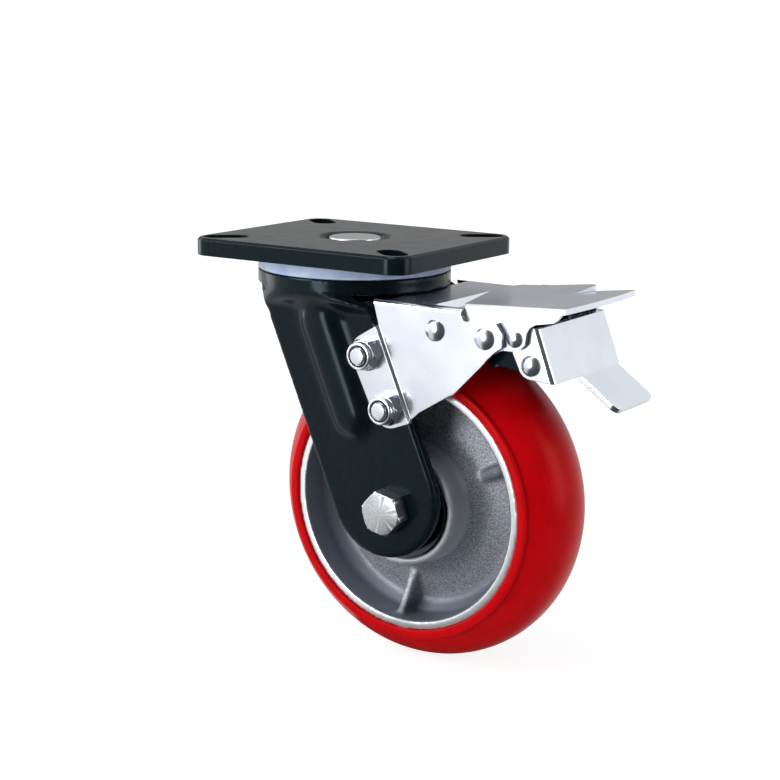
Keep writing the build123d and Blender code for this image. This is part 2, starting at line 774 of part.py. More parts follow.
# Pedal: a sheet with a flange down each side. Behind the slit its far corner dips, in front it rises
with BuildPart() as pedal:
    with BuildSketch(side_plane(-pedal_slit_y)):
        strip([(pedal_from_x, pedal_z(pedal_from_x)), (pedal_end_x + 3, pedal_z(pedal_end_x + 3))])
    extrude(amount=pedal_out - pedal_slit_y)
    with BuildSketch(side_plane(pedal_slit_y)):
        strip([(pedal_from_x, pedal_z(pedal_from_x)), (pedal_end_x + 3, pedal_z(pedal_end_x + 3))])
    extrude(amount=2 * pedal_slit_y)
    with BuildSketch(side_plane(-pedal_in)):
        Polygon(*pedal_flange, align=None)
        with Locations(pedal_pin):
            Circle(pedal_eye_r)
    extrude(amount=brake_t)
    near_edge = pedal.edges().filter_by(lambda e: abs(e.center().Y + pedal_out) < 0.01 and e.length > 50)
    fillet(near_edge.sort_by(Axis.Z)[-1], pedal_bend_r)
    flap_end_x = pedal_end_x + 3
    front = (pedal_lift_x, pedal_slit_x, pedal_lift)
    behind = (flap_end_x, pedal_slit_x + pedal_slit_wid, -pedal_dip)
    for far_x, slit_x, rise in (front, behind):
        hinge = (far_x, pedal_slit_y, pedal_z(far_x))
        rim_point = (far_x, pedal_out, pedal_z(far_x))
        slit_in = (slit_x, pedal_slit_y, pedal_z(slit_x))
        slit_out = (slit_x, pedal_out, pedal_z(slit_x) + rise)
        for corners in ((hinge, slit_in, slit_out), (hinge, slit_out, rim_point)):
            flap = Face(Wire.make_polygon(corners))
            extrude(flap, amount=brake_t, dir=(0, 0, -1))
    with BuildSketch(side_plane(pedal_out)):
        strip([(pedal_from_x, pedal_z(pedal_from_x)), (pedal_lift_x, pedal_z(pedal_lift_x))])
    extrude(amount=pedal_out - pedal_slit_y)
    with BuildSketch(side_plane(pedal_out)):
        Polygon(*pedal_flange, align=None)
        with Locations(pedal_pin):
            Circle(pedal_eye_r)
        with Locations((pedal_slit_x + plate_len / 2, pedal_pin_z)):
            Rectangle(plate_len, plate_len, mode=Mode.SUBTRACT)
    extrude(amount=brake_t)
    with BuildSketch(Plane.XY):
        with BuildLine():
            near = Polyline(
                (pedal_back_far_x, tongue_half),
                (pedal_back_x, pedal_back_y),
                (pedal_mid_x - pedal_back_near, 2 - bracket_in),
                (pedal_mid_x, -pedal_out),
                (pedal_end_x, -pedal_out),
            )
            end = ThreePointArc(near @ 1, (pedal_end_x + pedal_end_bulge, 3.0), (pedal_end_x - 1, pedal_out))
            Polyline(end @ 1, (pedal_mid_x, pedal_out), (pedal_mid_x, pedal_out - 1.6), near @ 0)
        make_face()
    extrude(amount=-plate_wid, mode=Mode.INTERSECT)
    with BuildSketch(Plane.XY):
        with Locations((pedal_slit_x - pedal_corner_r, pedal_out - pedal_corner_r)):
            Rectangle(2 * pedal_corner_r, 2 * pedal_corner_r, align=(Align.MIN, Align.MIN))
            Circle(pedal_corner_r, mode=Mode.SUBTRACT)
        with Locations((pedal_slit_x + plate_len / 2 + pedal_slit_wid / 2, 0)):
            Rectangle(plate_len, plate_wid, mode=Mode.SUBTRACT)
    extrude(amount=pedal_z(pedal_slit_x) - brake_t, mode=Mode.SUBTRACT)
    with BuildSketch(Plane.XZ):
        with Locations(pedal_pin):
            Circle(rivet_r + run_gap)
        with Locations(link_pin):
            Circle(small_rivet_r + seat_gap)
    extrude(amount=plate_wid, both=True, mode=Mode.SUBTRACT)

# Release lever: two flanges, a sloping front and a tab under the far half of the pedal
lever_top = (lever_top_x, lever_top_z)
lever_low = (lever_low_x, lever_low_z)
front_len = math.dist(lever_top, lever_low)
front_in = (
    brake_t * (lever_low_z - lever_top_z) / front_len,
    brake_t * (lever_top_x - lever_low_x) / front_len,
)
tab_len = math.dist(lever_low, (tab_end_x, tab_end_z))
tab_down = (
    brake_t * (tab_end_z - lever_low_z) / tab_len,
    brake_t * (lever_low_x - tab_end_x) / tab_len,
)
with BuildPart() as release_lever:
    with BuildSketch(side_plane(lever_out)):
        with Locations(link_pin):
            Circle(lever_link_r)
        with Locations(lever_pin):
            Circle(lever_eye_r)
        Polygon(lever_top, lever_low, lever_pin, link_pin, align=None)
        make_hull()
    extrude(amount=2 * lever_out)
    bends = release_lever.edges().filter_by(
        lambda e: abs(e.length - front_len) < 0.1 and abs(abs(e.center().Y) - lever_out) < 0.01
    )
    fillet(bends, bend_r)
    with BuildSketch(side_plane(lever_in)):
        Polygon(
            (lever_top_x + front_in[0], lever_top_z + front_in[1]),
            (lever_low_x + front_in[0], lever_low_z + front_in[1]),
            (lever_low_x + front_in[0], -overall_h),
            (pedal_pin_x, -overall_h),
            (pedal_pin_x, 0),
            (lever_top_x + front_in[0], 0),
            align=None,
        )
    extrude(amount=2 * lever_in, mode=Mode.SUBTRACT)
    with BuildSketch(side_plane(tab_to_y)):
        Polygon(
            lever_low,
            (tab_end_x, tab_end_z),
            (tab_end_x + tab_down[0], tab_end_z + tab_down[1]),
            (lever_low_x + tab_down[0], lever_low_z + tab_down[1]),
            (lever_low_x + front_in[0], lever_low_z + front_in[1]),
            (lever_low_x + 1.5 * front_in[0], lever_low_z - 1.2 * front_in[0]),
            align=None,
        )
    extrude(amount=tab_to_y - tab_from_y)
    corners = release_lever.edges().filter_by(lambda e: e.center().X > tab_end_x - 2 and e.length < brake_t + 0.1)
    fillet(corners, tab_corner_r)
    with BuildSketch(Plane.XZ):
        with Locations(link_pin):
            Circle(small_rivet_r + run_gap)
        with Locations(lever_pin):
            Circle(small_rivet_r + seat_gap)
    extrude(amount=plate_wid, both=True, mode=Mode.SUBTRACT)

# Brake arm: two flanges with the curved shoe between them, drawn released
shoe_in_r = wheel_r + shoe_gap
axle_point = (trail, axle_z)


def shoe_point(radius, degrees):
    """A point of the shoe at rest, from its place on the tyre when the brake is locked."""
    a = math.radians(degrees)
    locked = (trail + radius * math.cos(a), axle_z + radius * math.sin(a))
    return swing(locked, arm_pin, arm_lock_turn)


shoe_mid = (shoe_from + shoe_to) / 2
slot_centre = (
    lever_pin_x + toggle_play / 2 * math.cos(math.radians(toggle_play_turn)),
    lever_pin_z + toggle_play / 2 * math.sin(math.radians(toggle_play_turn)),
)
with BuildPart() as brake_arm:
    for y in (arm_out, -arm_in):
        with BuildSketch(side_plane(y)):
            with Locations(arm_pin):
                Circle(arm_eye_r)
            with Locations(slot_centre):
                Circle(arm_end_r)
            corners = [shoe_point(shoe_in_r + shoe_t / 2, a) for a in (shoe_from, shoe_to)]
            Polygon(arm_pin, corners[1], corners[0], slot_centre, align=None)
            make_hull()
        extrude(amount=arm_out - arm_in)
    with BuildSketch(side_plane(arm_out)):
        with BuildLine():
            low = ThreePointArc(*[shoe_point(shoe_in_r, a) for a in (shoe_from, shoe_mid, shoe_to)])
            top = ThreePointArc(*[shoe_point(shoe_in_r + shoe_t, a) for a in (shoe_to, shoe_mid, shoe_from)])
            Line(low @ 1, top @ 0)
            Line(top @ 1, low @ 0)
        make_face()
    extrude(amount=2 * arm_out)
    with BuildSketch(Plane.XZ):
        with Locations(arm_pin):
            Circle(arm_pin_r + run_gap)
        with Locations(Location(slot_centre, toggle_play_turn)):
            hole_r = small_rivet_r + seat_gap
            SlotOverall(2 * hole_r + toggle_play, 2 * hole_r)
    extrude(amount=plate_wid, both=True, mode=Mode.SUBTRACT)


def shaft(radius, y_from, y_to):
    """A pin's shaft between two places along Y."""
    with BuildSketch(side_plane(y_to)) as face:
        RegularPolygon(radius, small_flats_n)
    extrude(face.sketch, amount=y_to - y_from)


def dome(y, radius, height):
    """The round head of a rivet on the near side, on a face at this Y, as a piece of its own."""
    with BuildPart(mode=Mode.PRIVATE) as head:
        shaft(radius, y - height, y)
        chamfer(head.edges().group_by(Axis.Y)[0], height - rivet_rim_h)
    return head.part


near_arm_pin_head = dome(-bracket_half, dome_r, dome_h)
with BuildPart() as near_arm_pin:
    add(near_arm_pin_head)
    shaft(arm_pin_r, -bracket_half - 0.5, 0)

near_pedal_rivet_head = dome(-bracket_half, dome_r, dome_h)
with BuildPart() as near_pedal_rivet:
    add(near_pedal_rivet_head)
    shaft(rivet_r, -bracket_half - 0.5, 0.2 - pedal_in)
    shaft(dome_r, 0.2 - pedal_in, 0.2 - pedal_in + inner_head_t)

near_link_rivet_head = dome(-pedal_out, small_dome_r, small_dome_h)
with BuildPart() as near_link_rivet:
    add(near_link_rivet_head)
    shaft(small_rivet_r, -pedal_out - 0.5, -lever_in)

near_lever_rivet_head = dome(-lever_out, dome_r - 0.3, dome_h)
with BuildPart() as near_lever_rivet:
    add(near_lever_rivet_head)
    shaft(small_rivet_r, -lever_out - 0.5, 0.1 - arm_in)
    shaft(dome_r - 0.3, 0.1 - arm_in, 0.1 - arm_in + inner_head_t)


def rivet_pair(near, point):
    """The near rivet set on its axis, and its mirror image on the far side."""
    with Locations((point[0], 0, point[1])):
        add(near.part)
    far = mirror(near.part, about=Plane.XZ, mode=Mode.PRIVATE)
    with Locations((point[0], 0, point[1])):
        add(far)


with BuildPart() as arm_pivot_pin:
    rivet_pair(near_arm_pin, arm_pin)

with BuildPart() as pedal_rivets:
    rivet_pair(near_pedal_rivet, pedal_pin)

with BuildPart() as link_rivets:
    rivet_pair(near_link_rivet, link_pin)

with BuildPart() as lever_rivets:
    rivet_pair(near_lever_rivet, lever_pin)

with BuildPart() as arm_spacers:
    for y in (-arm_out - seat_gap, bracket_in - seat_gap):
        with BuildSketch(side_plane(y)):
            with Locations(arm_pin):
                RegularPolygon(spacer_r, small_flats_n)
                RegularPolygon(arm_pin_r + seat_gap, small_flats_n, major_radius=False, mode=Mode.SUBTRACT)
        extrude(amount=bracket_in - arm_out - 2 * seat_gap)

# Bolts and nuts of the bracket, two on each leg
with BuildPart() as near_bolt:
    shaft(bolt_head_r, -leg_in, -leg_in + bolt_head_h)
    shaft(bolt_r, -flange_out - nut_h - bolt_end, -leg_in)
    chamfer(near_bolt.edges().group_by(Axis.Y)[0], bolt_edge)

with BuildPart() as near_nut:
    with BuildSketch(side_plane(-flange_out)):
        RegularPolygon(nut_af / 2, 6, major_radius=False)
    extrude(amount=nut_hex_h)
    shaft(nut_af / 2 - nut_edge / 2, -flange_out - nut_h, -flange_out)
    chamfer(near_nut.edges().group_by(Axis.Y)[0], nut_edge)
    with BuildSketch(side_plane(-flange_out)):
        RegularPolygon(bolt_r + seat_gap / 2, small_flats_n, major_radius=False)
    extrude(amount=nut_h, mode=Mode.SUBTRACT)

with BuildPart() as bracket_bolts:
    for point in bolt_points:
        rivet_pair(near_bolt, point)

with BuildPart() as bracket_nuts:
    for point in bolt_points:
        rivet_pair(near_nut, point)

for builder, name in (
    (top_plate, "top_plate"),
    (kingpin, "kingpin"),
    (kingpin_nut, "kingpin_nut"),
    (lower_race, "lower_race"),
    (upper_balls, "upper_balls"),
    (lower_balls, "lower_balls"),
    (dust_seal, "dust_seal"),
    (fork, "fork"),
    (wheel_core, "wheel_core"),
    (tyre, "tyre"),
    (bearing_inner_rings, "bearing_inner_rings"),
    (bearing_outer_rings, "bearing_outer_rings"),
    (bearing_shields, "bearing_shields"),
    (wheel_balls, "wheel_balls"),
    (axle_sleeve, "axle_sleeve"),
    (bearing_spacer, "bearing_spacer"),
    (hub_washers, "hub_washers"),
    (axle_washer, "axle_washer"),
    (axle_bolt, "axle_bolt"),
    (axle_nut, "axle_nut"),
    (brake_bracket, "brake_bracket"),
    (bracket_bolts, "bracket_bolts"),
    (bracket_nuts, "bracket_nuts"),
    (pedal, "pedal"),
    (release_lever, "release_lever"),
    (brake_arm, "brake_arm"),
    (arm_pivot_pin, "arm_pivot_pin"),
    (arm_spacers, "arm_spacers"),
    (pedal_rivets, "pedal_rivets"),
    (link_rivets, "link_rivets"),
    (lever_rivets, "lever_rivets"),
):
    finish(builder, name)
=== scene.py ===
import bpy
import bmesh
import json
import math
import numpy as np
from mathutils import Matrix, Vector


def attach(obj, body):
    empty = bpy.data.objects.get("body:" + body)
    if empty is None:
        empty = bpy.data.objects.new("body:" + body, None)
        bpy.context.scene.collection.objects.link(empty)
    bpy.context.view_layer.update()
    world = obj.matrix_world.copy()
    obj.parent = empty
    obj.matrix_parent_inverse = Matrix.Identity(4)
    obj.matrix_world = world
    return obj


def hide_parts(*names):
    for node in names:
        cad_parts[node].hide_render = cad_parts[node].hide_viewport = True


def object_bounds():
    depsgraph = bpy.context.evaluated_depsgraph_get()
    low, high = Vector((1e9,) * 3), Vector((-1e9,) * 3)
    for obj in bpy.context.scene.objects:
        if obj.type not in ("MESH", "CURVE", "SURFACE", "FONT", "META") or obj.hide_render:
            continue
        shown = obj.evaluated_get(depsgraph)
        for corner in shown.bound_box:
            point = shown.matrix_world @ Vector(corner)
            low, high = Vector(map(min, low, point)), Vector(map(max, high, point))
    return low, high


# Heavy-duty castor with a foot brake: looks for the CAD frame. Blender units are metres.

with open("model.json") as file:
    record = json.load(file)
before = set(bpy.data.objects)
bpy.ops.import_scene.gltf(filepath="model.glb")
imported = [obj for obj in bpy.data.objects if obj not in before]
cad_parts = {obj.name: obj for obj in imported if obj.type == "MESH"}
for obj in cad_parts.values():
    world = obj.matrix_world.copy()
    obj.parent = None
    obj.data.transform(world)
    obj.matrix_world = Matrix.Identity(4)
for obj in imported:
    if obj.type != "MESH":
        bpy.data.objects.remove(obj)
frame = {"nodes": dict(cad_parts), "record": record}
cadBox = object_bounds()
nodes = frame["nodes"]
mm = 0.001
axle = (44, -115)  # of the wheel, in X and Z, mm


def srgb(hexText, alpha=1.0):
    # sRGB hex to the linear colour that the shaders want
    channels = [int(hexText[i:i + 2], 16) / 255 for i in (1, 3, 5)]
    return [c / 12.92 if c <= 0.04045 else ((c + 0.055) / 1.055) ** 2.4 for c in channels] + [alpha]


def addNode(tree, kind, settings=None, links=None):
    # one node, its settings by attribute or input name, and links of input name or number to output socket
    node = tree.nodes.new(kind)
    for name, value in (settings or {}).items():
        if isinstance(name, int) or name in node.inputs:
            node.inputs[name].default_value = value
        else:
            setattr(node, name, value)
    for name, source in (links or {}).items():
        tree.links.new(source, node.inputs[name])
    return node


def newMaterial(name, settings):
    # a material with one Principled shader, plus its object coordinates
    material = bpy.data.materials.new(name)
    material.use_nodes = True
    tree = material.node_tree
    shader = tree.nodes["Principled BSDF"]
    for socket, value in settings.items():
        shader.inputs[socket].default_value = value
    coords = addNode(tree, "ShaderNodeTexCoord").outputs["Object"]
    return material, tree, shader, coords


def twoTones(tree, fac, dark, light, low=0.35, high=0.65):
    # a soft mix of two colours by a pattern
    node = addNode(tree, "ShaderNodeValToRGB", links={"Fac": fac})
    for element, place, colour in zip(node.color_ramp.elements, (low, high), (dark, light)):
        element.position = place
        element.color = srgb(colour)
    return node.outputs["Color"]


def wear(tree, coords, size, detail=2.0):
    # cloudy pattern of a real size in mm
    noise = addNode(tree, "ShaderNodeTexNoise", {"Scale": 1 / (size * mm), "Detail": detail}, {"Vector": coords})
    return noise.outputs["Fac"]


def relief(tree, shader, height, depth, edge, strength=1.0):
    # bump of a real depth over edges rounded by a real radius, both in mm
    soft = addNode(tree, "ShaderNodeBevel", {"Radius": edge * mm, "samples": 6}).outputs["Normal"]
    bump = addNode(tree, "ShaderNodeBump", {"Strength": strength, "Distance": depth * mm},
                   {"Height": height, "Normal": soft})
    tree.links.new(bump.outputs["Normal"], shader.inputs["Normal"])
    return bump


# Black dip coating, baked: deep blue-black gloss; the peel is 3 mm across and only just breaks a reflection
blackLook = {"dark": "#080f13", "light": "#0b1418", "roughness": 0.2, "gloss": (0.18, 0.23), "dust": 11.0,
             "peel": 3.0, "depth": 0.002, "edge": 0.5}


def blackCoating():
    material, tree, shader, coords = newMaterial("bakedDipCoating", {
        "Roughness": blackLook["roughness"], "IOR": 1.5, "Specular IOR Level": 0.22,
        "Specular Tint": srgb("#aecdd8")})
    peel = wear(tree, coords, blackLook["peel"])
    tree.links.new(twoTones(tree, peel, blackLook["dark"], blackLook["light"]), shader.inputs["Base Color"])
    dust = wear(tree, coords, blackLook["dust"], 4.0)
    gloss = addNode(tree, "ShaderNodeMapRange", {"From Min": 0.35, "From Max": 0.7, "To Min": blackLook["gloss"][0],
                                                 "To Max": blackLook["gloss"][1]}, {"Value": dust})
    tree.links.new(gloss.outputs["Result"], shader.inputs["Roughness"])
    relief(tree, shader, peel, blackLook["depth"], blackLook["edge"], 0.5)
    return material


# Bright zinc on rolled sheet: bluish white, nearly a mirror, with soft clouds and faint rolling marks
zincLook = {"dark": "#d9e0ea", "light": "#e3e8f0", "gloss": (0.2, 0.26), "cloud": 24.0, "grain": 1.2,
            "depth": 0.006, "edge": 0.3}


def brightZinc():
    material, tree, shader, coords = newMaterial("brightZincPlate", {"Roughness": 0.22, "Metallic": 1.0})
    cloud = wear(tree, coords, zincLook["cloud"], 3.0)
    tree.links.new(twoTones(tree, cloud, zincLook["dark"], zincLook["light"]), shader.inputs["Base Color"])
    gloss = addNode(tree, "ShaderNodeMapRange", {"From Min": 0.3, "From Max": 0.7, "To Min": zincLook["gloss"][0],
                                                 "To Max": zincLook["gloss"][1]}, {"Value": cloud})
    tree.links.new(gloss.outputs["Result"], shader.inputs["Roughness"])
    relief(tree, shader, wear(tree, coords, zincLook["grain"]), zincLook["depth"], zincLook["edge"], 0.3)
    return material


# Dull zinc on forged and turned steel: matte light grey with a fine speckle
forgedLook = {"dark": "#b4b8bc", "light": "#d3d6d8", "speckle": 0.7, "depth": 0.03, "edge": 0.3}


def dullZinc():
    material, tree, shader, coords = newMaterial("dullZincSteel", {"Roughness": 0.32, "Metallic": 1.0})
    speckle = wear(tree, coords, forgedLook["speckle"], 3.0)
    tree.links.new(twoTones(tree, speckle, forgedLook["dark"], forgedLook["light"]), shader.inputs["Base Color"])
    relief(tree, shader, speckle, forgedLook["depth"], forgedLook["edge"])
    return material


# Sand-cast aluminium: coarse sparkling skin drawn 0.6 mm across, since the real grit is finer than a pixel;
# the rim's edge is turned bright, and its border with the skin is ragged
# the inner colour is painted shade: a darker grey given to the rim's inner face
castLook = {"dark": "#7d8089", "light": "#b9bcc5", "grit": 0.6, "depth": 0.1, "turnedFrom": 54.5, "ragged": 0.3,
            "rag": 1.6, "turned": "#eef0f3", "inner": "#757a85", "innerShadeFrom": 46.0, "innerTo": 51.0,
            "boss": "#d2d5db", "bossR": 28.0, "bossLightShare": 0.7, "evenFrom": 44.0, "evenStrength": 0.06}


def castAluminium():
    material, tree, shader, coords = newMaterial("sandCastAluminium", {"Roughness": 0.6, "Metallic": 0.8})
    grit = wear(tree, coords, castLook["grit"], 4.0)
    skin = twoTones(tree, grit, castLook["dark"], castLook["light"], 0.38, 0.62)
    split = addNode(tree, "ShaderNodeSeparateXYZ", links={"Vector": coords})
    flat = addNode(tree, "ShaderNodeCombineXYZ", links={"X": split.outputs["X"], "Y": split.outputs["Z"]})
    offset = addNode(tree, "ShaderNodeVectorMath", {"operation": "DISTANCE", 1: (axle[0] * mm, axle[1] * mm, 0)},
                     {0: flat.outputs[0]})
    distance = {"Value": offset.outputs["Value"]}
    rough = addNode(tree, "ShaderNodeMapRange", {"To Min": -castLook["ragged"] * mm,
                                                 "To Max": castLook["ragged"] * mm},
                    {"Value": wear(tree, coords, castLook["rag"], 3.0)})
    radius = addNode(tree, "ShaderNodeMath", {"operation": "ADD"},
                     {0: offset.outputs["Value"], 1: rough.outputs["Result"]})
    turned = addNode(tree, "ShaderNodeMapRange", {"From Min": castLook["turnedFrom"] * mm,
                                                  "From Max": (castLook["turnedFrom"] + 0.25) * mm},
                     {"Value": radius.outputs[0]}).outputs["Result"]
    # the rim's inner face is even, and darker as painted shade; the boss round the bearing brighter as painted light
    innerShadeMask = addNode(tree, "ShaderNodeMapRange", {"From Min": castLook["innerShadeFrom"] * mm,
                                                "From Max": castLook["innerTo"] * mm}, distance)
    inner = addNode(tree, "ShaderNodeMix", {"data_type": "RGBA", 7: srgb(castLook["inner"])},
                    {0: innerShadeMask.outputs["Result"], 6: skin})
    # painted light: the cast boss round the bearing is coloured brighter than the rest of the skin
    near = addNode(tree, "ShaderNodeMapRange", {"From Min": castLook["bossR"] * mm,
                                                "From Max": (castLook["bossR"] + 1) * mm,
                                                "To Min": castLook["bossLightShare"], "To Max": 0.0}, distance)
    boss = addNode(tree, "ShaderNodeMix", {"data_type": "RGBA", 7: srgb(castLook["boss"])},
                   {0: near.outputs["Result"], 6: inner.outputs[2]})
    colour = addNode(tree, "ShaderNodeMix", {"data_type": "RGBA", 7: srgb(castLook["turned"])},
                     {0: turned, 6: boss.outputs[2]})
    tree.links.new(colour.outputs[2], shader.inputs["Base Color"])
    gloss = addNode(tree, "ShaderNodeMapRange", {"To Min": 0.6, "To Max": 0.28}, {"Value": turned})
    tree.links.new(gloss.outputs["Result"], shader.inputs["Roughness"])
    bump = relief(tree, shader, grit, castLook["depth"], 0.4)
    depth = addNode(tree, "ShaderNodeMapRange", {"From Min": castLook["evenFrom"] * mm,
                                                 "From Max": castLook["innerTo"] * mm,
                                                 "To Min": 1.0, "To Max": castLook["evenStrength"]}, distance)
    tree.links.new(depth.outputs["Result"], bump.inputs["Strength"])
    return material


# Cast polyurethane: saturated deep red, smooth from the mould, with a soft wet sheen
tyreLook = {"dark": "#aa0208", "light": "#b3040b", "cloud": 12.0, "roughness": 0.3, "gloss": (0.26, 0.34)}


def redPolyurethane():
    material, tree, shader, coords = newMaterial("castPolyurethane", {
        "Roughness": tyreLook["roughness"], "IOR": 1.5, "Specular IOR Level": 0.18,
        "Specular Tint": srgb("#ff8080")})
    cloud = wear(tree, coords, tyreLook["cloud"])
    tree.links.new(twoTones(tree, cloud, tyreLook["dark"], tyreLook["light"]), shader.inputs["Base Color"])
    gloss = addNode(tree, "ShaderNodeMapRange", {"To Min": tyreLook["gloss"][0], "To Max": tyreLook["gloss"][1]},
                    {"Value": cloud})
    tree.links.new(gloss.outputs["Result"], shader.inputs["Roughness"])
    return material


# Moulded polyethylene: pale blue, waxy
sealLook = {"dark": "#93a4c2", "light": "#a7b5cd", "cloud": 6.0}


def sealPlastic():
    material, tree, shader, coords = newMaterial("mouldedPolyethylene", {
        "Roughness": 0.4, "IOR": 1.5, "Specular IOR Level": 0.3})
    cloud = wear(tree, coords, sealLook["cloud"])
    tree.links.new(twoTones(tree, cloud, sealLook["dark"], sealLook["light"]), shader.inputs["Base Color"])
    return material


# Black nylon insert of a lock nut: moulded and matte
nylonLook = {"dark": "#0a0a0c", "light": "#151518", "cloud": 1.0}


def blackNylon():
    material, tree, shader, coords = newMaterial("blackNylon", {
        "Roughness": 0.55, "IOR": 1.5, "Specular IOR Level": 0.3})
    cloud = wear(tree, coords, nylonLook["cloud"])
    tree.links.new(twoTones(tree, cloud, nylonLook["dark"], nylonLook["light"]), shader.inputs["Base Color"])
    return material


# Ground bearing steel under its grease: dark, with fine marks drawn 0.5 mm across so that they show
steelLook = {"dark": "#4a4c50", "light": "#66696d", "marks": 0.5, "gloss": (0.12, 0.24)}


def bearingSteel():
    material, tree, shader, coords = newMaterial("groundBearingSteel", {"Roughness": 0.16, "Metallic": 1.0})
    marks = wear(tree, coords, steelLook["marks"])
    tree.links.new(twoTones(tree, marks, steelLook["dark"], steelLook["light"]), shader.inputs["Base Color"])
    gloss = addNode(tree, "ShaderNodeMapRange", {"To Min": steelLook["gloss"][0], "To Max": steelLook["gloss"][1]},
                    {"Value": marks})
    tree.links.new(gloss.outputs["Result"], shader.inputs["Roughness"])
    return material


finishes = {
    "black_coat": blackCoating(),
    "bright_zinc": brightZinc(),
    "kingpin_steel": dullZinc(),
    "bearing_steel": bearingSteel(),
    "seal_plastic": sealPlastic(),
    "cast_aluminium": castAluminium(),
    "red_polyurethane": redPolyurethane(),
}
finishes["zinc_steel"] = finishes["bolt_zinc"] = finishes["kingpin_steel"]
nylon = blackNylon()
slotOfNode = {part["node"]: part["material_slot"] for part in frame["record"]["subparts"]}
for name, node in nodes.items():
    for i in range(len(node.material_slots)):
        node.material_slots[i].material = finishes[slotOfNode[name]]
print("materials done")


def addPiece(name, mesh, body, standsFor, material=None, slot=None, smooth=35):
    # a finished mesh as an object that rides on its body, in its node's place and finish
    slot = slot or slotOfNode[standsFor]
    if smooth:
        mesh.shade_smooth()
        mesh.set_sharp_from_angle(angle=math.radians(smooth))
    mesh.materials.clear()
    mesh.materials.append(material or finishes[slot])
    piece = bpy.data.objects.new(name, mesh)
    bpy.context.scene.collection.objects.link(piece)
    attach(piece, body)
    if standsFor:
        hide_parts(standsFor)


def turn(shape, profile, centre, steps=96, across=None, twist=0, side=1, upright=False):
    # turns a profile of (radius, along) in mm; across cuts it to a hexagon, side mirrors it to the far leg
    rings = []
    for radius, along in profile:
        ring = []
        for i in range(steps if radius else 1):
            angle = 2 * math.pi * i / steps
            reach = radius
            if across:
                wedge = (angle + math.pi / 6) % (math.pi / 3) - math.pi / 6
                reach = min(radius, across / 2 / math.cos(wedge))
            u = centre[0] + reach * math.cos(angle + math.radians(twist))
            v = centre[1] + reach * math.sin(angle + math.radians(twist))
            place = (u, v, along) if upright else (u, side * along, v)
            ring.append(shape.verts.new(Vector(place) * mm))
        rings.append(ring)
    pairs = list(zip(rings, rings[1:]))
    if len(rings[0]) > 1 and len(rings[-1]) > 1:
        pairs.append((rings[-1], rings[0]))
    for one, two in pairs:
        for i in range(steps):
            j = (i + 1) % steps
            corners = [one[i % len(one)], one[j % len(one)], two[j % len(two)], two[i % len(two)]]
            corners = list(dict.fromkeys(corners))
            if len(corners) > 2:
                shape.faces.new(corners)


def toMesh(name, shape):
    bmesh.ops.recalc_face_normals(shape, faces=shape.faces)
    mesh = bpy.data.meshes.new(name)
    shape.to_mesh(mesh)
    shape.free()
    return mesh


def roundedSheet(name, node, body, edge, reshape=None):
    # the node's sheet with its flats merged and every sharp edge rounded, as pressing leaves it
    shape = bmesh.new()
    shape.from_mesh(nodes[node].data)
    bmesh.ops.remove_doubles(shape, verts=shape.verts, dist=0.001 * mm)
    bmesh.ops.dissolve_limit(shape, angle_limit=math.radians(0.8), verts=shape.verts, edges=shape.edges)
    for vertex in shape.verts if reshape else ():
        vertex.co = reshape(vertex.co / mm) * mm
    source = bpy.data.objects.new(name + "Source", toMesh(name + "Source", shape))
    bpy.context.scene.collection.objects.link(source)
    source.data.shade_smooth()
    bevel = source.modifiers.new("edges", "BEVEL")
    bevel.width = edge * mm
    bevel.segments = 3
    bevel.limit_method = "ANGLE"
    bevel.angle_limit = math.radians(28)
    weigh = source.modifiers.new("flats", "WEIGHTED_NORMAL")
    weigh.weight = 100
    mesh = bpy.data.meshes.new_from_object(source.evaluated_get(bpy.context.evaluated_depsgraph_get()))
    bpy.data.objects.remove(source)
    addPiece(name, mesh, body, node, smooth=None)


def evenCopy(name, node, voxel, fills=()):
    # the node's solid resampled to an even net, ready to be relaxed; fills are rods that close a gap, each given
    # by its place in x and z, its radius, and where it starts and ends along y
    shape = bmesh.new()
    shape.from_mesh(nodes[node].data)
    for x, z, radius, start, end in fills:
        turn(shape, [(0, start), (radius, start), (radius, end), (0, end)], (x, z), 24)
    source = bpy.data.objects.new(name + "Source", toMesh(name + "Source", shape))
    bpy.context.scene.collection.objects.link(source)
    remesh = source.modifiers.new("even", "REMESH")
    remesh.mode = "VOXEL"
    remesh.voxel_size = voxel * mm
    mesh = bpy.data.meshes.new_from_object(source.evaluated_get(bpy.context.evaluated_depsgraph_get()))
    bpy.data.objects.remove(source)
    return mesh


def relax(mesh, soften):
    # evens the net out; soften gives the number of rounds at each point, from its x, y and z in mm
    points = np.empty(len(mesh.vertices) * 3)
    mesh.vertices.foreach_get("co", points)
    points = points.reshape(-1, 3) / mm
    pairs = np.empty(len(mesh.edges) * 2, dtype=np.int32)
    mesh.edges.foreach_get("vertices", pairs)
    ends = np.concatenate([pairs[0::2], pairs[1::2]])
    others = np.concatenate([pairs[1::2], pairs[0::2]])
    number = np.bincount(ends, minlength=len(points))
    rounds = soften(points[:, 0], points[:, 1], points[:, 2])
    for k in range(int(rounds.max())):
        share = 0.5 * np.clip(rounds - k, 0, 1)
        for i in range(3):
            mean = np.bincount(ends, weights=points[others, i], minlength=len(points)) / number
            points[:, i] += (mean - points[:, i]) * share
    mesh.vertices.foreach_set("co", (points * mm).ravel())
    mesh.update()


